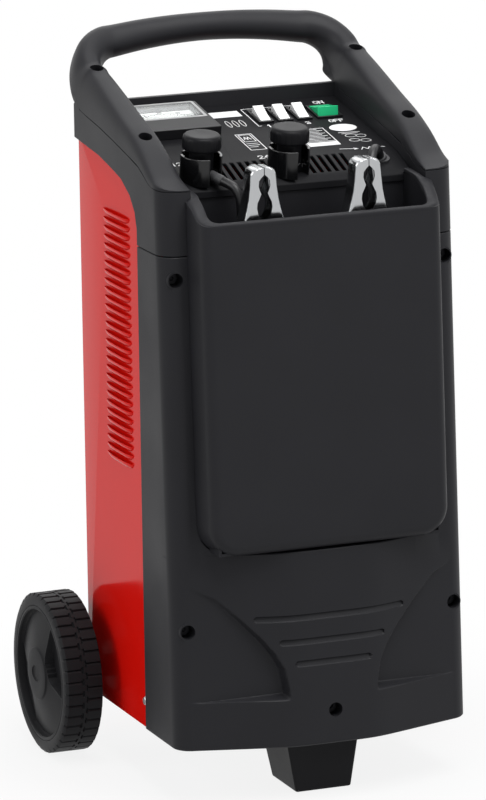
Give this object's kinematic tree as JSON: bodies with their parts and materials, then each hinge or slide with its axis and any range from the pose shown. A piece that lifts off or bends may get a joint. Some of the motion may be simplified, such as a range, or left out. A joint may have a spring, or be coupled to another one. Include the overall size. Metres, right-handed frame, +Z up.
{
  "type": "wheeled car battery charger",
  "caption": "Upright wheeled battery charger with a hoop handle, sloping control panel, knob terminals, front cable pocket, two steel clamps and louvred steel cover.",
  "frame": {"origin": "on the ground under the middle of the object's overall box", "axes": "+Z up, +X to the right for someone facing the pocket and panel, -Y towards that person, so the wheels are at +Y"},
  "size_m": [0.371, 0.3132, 0.6382],
  "materials": {
    "shell_black": "fine satin grain",
    "panel_black": "satin",
    "cover_red": "gloss",
    "zinc_steel": "dull zinc",
    "axle_steel": "bright",
    "wheel_black": "satin",
    "foot_black": "satin",
    "meter_black": "satin",
    "meter_clear": "clear",
    "dial_white": "matt print",
    "needle_red": "matt",
    "switch_black": "satin",
    "rocker_white": "gloss",
    "rocker_green": "gloss, translucent look",
    "knob_black": "satin",
    "stud_brass": "plated",
    "washer_steel": "bright",
    "lug_tin": "tinned",
    "sleeve_grey": "matt",
    "cable_black": "satin",
    "tie_black": "satin",
    "clamp_steel": "bright plated",
    "pin_steel": "bright",
    "core_iron": "varnished laminations",
    "winding_copper": "enamelled wire",
    "bar_steel": "zinc",
    "sink_aluminium": "plain",
    "strap_copper": "copper strip",
    "cutout_cream": "satin",
    "loom_black": "satin",
    "gland_black": "satin",
    "screw_steel": "dark zinc"
  },
  "bodies": {
    "frame": {"front_shell": "shell_black", "console": "shell_black", "pocket_front": "shell_black", "pocket_tub": "shell_black", "control_panel": "panel_black", "handle_top": "shell_black", "handle_back": "shell_black", "cover": "cover_red", "base_tray": "zinc_steel", "foot": "foot_black", "axle": "axle_steel", "axle_caps": "wheel_black", "axle_sleeves": "wheel_black", "meter_case": "meter_black", "meter_window": "meter_clear", "meter_dial": "dial_white", "charge_switch_cases": "switch_black", "main_switch_case": "switch_black", "terminal_guards": "knob_black", "terminal_studs": "stud_brass", "cable_lug": "lug_tin", "cable_boot": "sleeve_grey", "cable_grommet": "sleeve_grey", "cable_positive": "cable_black", "hank_positive": "cable_black", "cable_negative": "cable_black", "hank_negative": "cable_black", "cable_ties": "tie_black", "clamp_positive_fixed": "clamp_steel", "clamp_negative_fixed": "clamp_steel", "clamp_pins": "pin_steel", "clamp_springs": "pin_steel", "transformer_core": "core_iron", "primary_coil": "winding_copper", "secondary_coil": "winding_copper", "core_frame": "bar_steel", "core_bolts": "bar_steel", "heatsink": "sink_aluminium", "diodes": "bar_steel", "fuse_link": "strap_copper", "copper_leads": "strap_copper", "thermal_cutout": "cutout_cream", "wiring_loom": "loom_black", "mains_gland": "gland_black", "handle_screws": "screw_steel", "front_screws": "screw_steel", "cover_screws": "washer_steel"},
    "wheel_left": {"wheel_left": "wheel_black"},
    "wheel_right": {"wheel_right": "wheel_black"},
    "rocker_a": {"rocker_1": "rocker_white"},
    "rocker_b": {"rocker_2": "rocker_white"},
    "rocker_c": {"rocker_3": "rocker_white"},
    "rocker_main": {"main_rocker": "rocker_green"},
    "needle": {"meter_needle": "needle_red"},
    "washer_12": {"terminal_washer_12": "washer_steel"},
    "knob_12": {"terminal_knob_12": "knob_black"},
    "washer_24": {"terminal_washer_24": "washer_steel"},
    "knob_24": {"terminal_knob_24": "knob_black"},
    "jaw_positive": {"clamp_positive_jaw": "clamp_steel"},
    "jaw_negative": {"clamp_negative_jaw": "clamp_steel"}
  },
  "joints": [
    {"name": "wheel_left_spin", "type": "hinge", "parent": "frame", "child": "wheel_left", "pos_m": [-0.165, 0.0855, 0.071], "axis": [1, 0, 0], "continuous": true},
    {"name": "wheel_right_spin", "type": "hinge", "parent": "frame", "child": "wheel_right", "pos_m": [0.165, 0.0855, 0.071], "axis": [1, 0, 0], "continuous": true},
    {"name": "rocker_1_press", "type": "hinge", "parent": "frame", "child": "rocker_a", "pos_m": [0.022, 0.05594, 0.55262], "axis": [-1, 0, 0], "range_deg": [0, 34]},
    {"name": "rocker_2_press", "type": "hinge", "parent": "frame", "child": "rocker_b", "pos_m": [0.04, 0.05594, 0.55262], "axis": [-1, 0, 0], "range_deg": [0, 34]},
    {"name": "rocker_3_press", "type": "hinge", "parent": "frame", "child": "rocker_c", "pos_m": [0.058, 0.05594, 0.55262], "axis": [-1, 0, 0], "range_deg": [0, 34]},
    {"name": "main_rocker_press", "type": "hinge", "parent": "frame", "child": "rocker_main", "pos_m": [0.0815, 0.05594, 0.55262], "axis": [1, 0, 0], "range_deg": [0, 34]},
    {"name": "needle_swing", "type": "hinge", "parent": "frame", "child": "needle", "pos_m": [-0.063, 0.03503, 0.55292], "axis": [0, 0.1771, -0.9842], "range_deg": [0, 84], "stiffness_Nm_per_rad": 0.0005, "springref_deg": -11.46},
    {"name": "washer_12_rise", "type": "slide", "parent": "frame", "child": "washer_12", "axis": [0, -0.1392, 0.9903], "range_m": [0, 0.00375]},
    {"name": "knob_12_turn", "type": "hinge", "parent": "washer_12", "child": "knob_12", "pos_m": [-0.08, -0.06478, 0.55079], "axis": [0, -0.1392, 0.9903], "range_deg": [0, 1083]},
    {"name": "washer_24_rise", "type": "slide", "parent": "frame", "child": "washer_24", "axis": [0, -0.1392, 0.9903], "range_m": [0, 0.00375]},
    {"name": "knob_24_turn", "type": "hinge", "parent": "washer_24", "child": "knob_24", "pos_m": [0, -0.06478, 0.55079], "axis": [0, -0.1392, 0.9903], "range_deg": [0, 1083]},
    {"name": "clamp_positive_open", "type": "hinge", "parent": "frame", "child": "jaw_positive", "pos_m": [-0.047, -0.116, 0.492], "axis": [0, 1, 0], "range_deg": [0, 18], "stiffness_Nm_per_rad": 1.2, "springref_deg": -45.84},
    {"name": "clamp_negative_open", "type": "hinge", "parent": "frame", "child": "jaw_negative", "pos_m": [0.048, -0.116, 0.492], "axis": [0, 1, 0], "range_deg": [0, 18], "stiffness_Nm_per_rad": 1.2, "springref_deg": -45.84}
  ],
  "couplings": [
    {"joint": "knob_12_turn", "follows": "washer_12_rise", "rad_per_m": 5026.5},
    {"joint": "knob_24_turn", "follows": "washer_24_rise", "rad_per_m": 5026.5}
  ]
}
